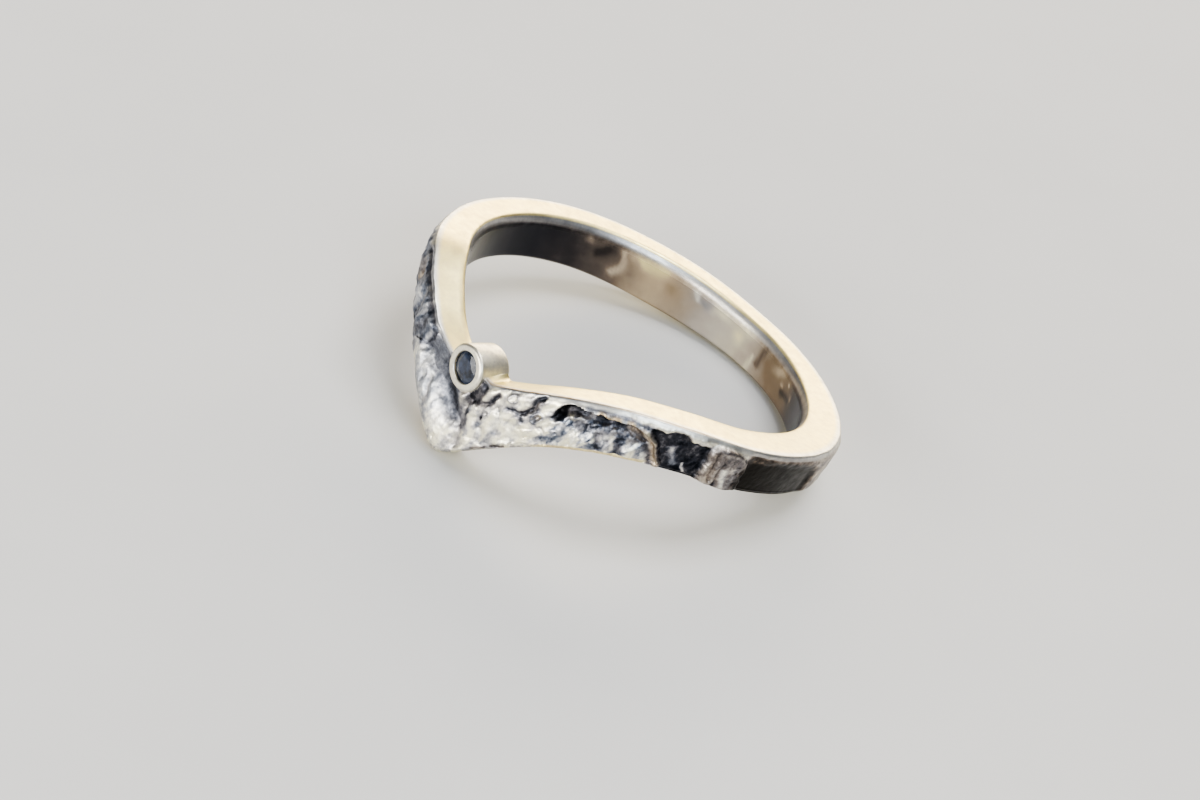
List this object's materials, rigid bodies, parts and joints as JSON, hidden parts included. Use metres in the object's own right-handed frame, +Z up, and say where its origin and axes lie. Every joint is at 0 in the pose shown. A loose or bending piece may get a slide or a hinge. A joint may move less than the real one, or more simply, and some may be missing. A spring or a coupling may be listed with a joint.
{
  "type": "wishbone wedding band",
  "caption": "Cast silver wishbone wedding band with a V at the front, a rough cast outer face and a small dark round stone tube-set in the notch.",
  "frame": {"origin": "middle of the ring's outline on the surface that it rests on", "axes": "+Z up from the surface, -Y towards the tip of the V, +X to the right as seen from the front"},
  "size_m": [0.0203, 0.0199, 0.0063],
  "materials": {
    "silver": "satin rim, polished inside, rough cast outer face",
    "dark_stone": "polished facets"
  },
  "bodies": {
    "root": {"band": "silver", "stone": "dark_stone"}
  },
  "joints": []
}
